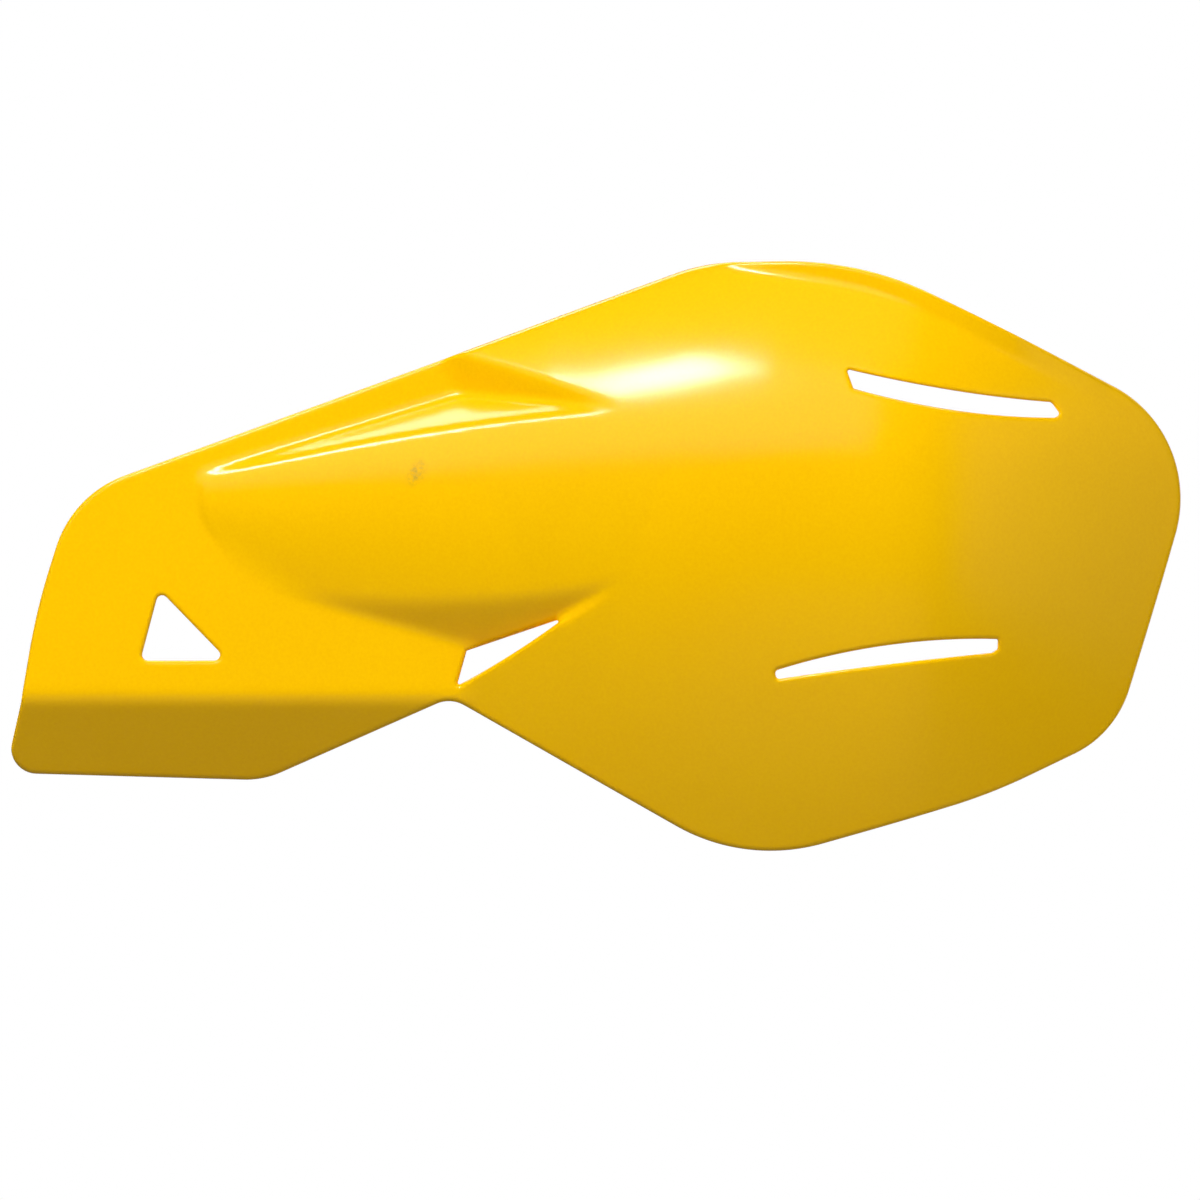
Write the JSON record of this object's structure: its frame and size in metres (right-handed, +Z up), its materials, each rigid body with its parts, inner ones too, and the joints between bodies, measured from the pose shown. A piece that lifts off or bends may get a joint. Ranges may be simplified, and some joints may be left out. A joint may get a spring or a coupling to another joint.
{
  "type": "motorcycle hand guard",
  "caption": "Yellow plastic hand guard shell for a motorcycle handlebar, with a fairing bulge, a triangular window, a slit and air vents, screwed on from behind.",
  "frame": {"origin": "midway between the two rear screw bosses, on the plane that the bracket bolts to", "axes": "+X outboard along the handlebar, -Y forward into the wind, +Z up"},
  "size_m": [0.2937, 0.0567, 0.1466],
  "materials": {
    "yellow_plastic": "gloss"
  },
  "bodies": {
    "root": {"guard_shell": "yellow_plastic"}
  },
  "joints": []
}
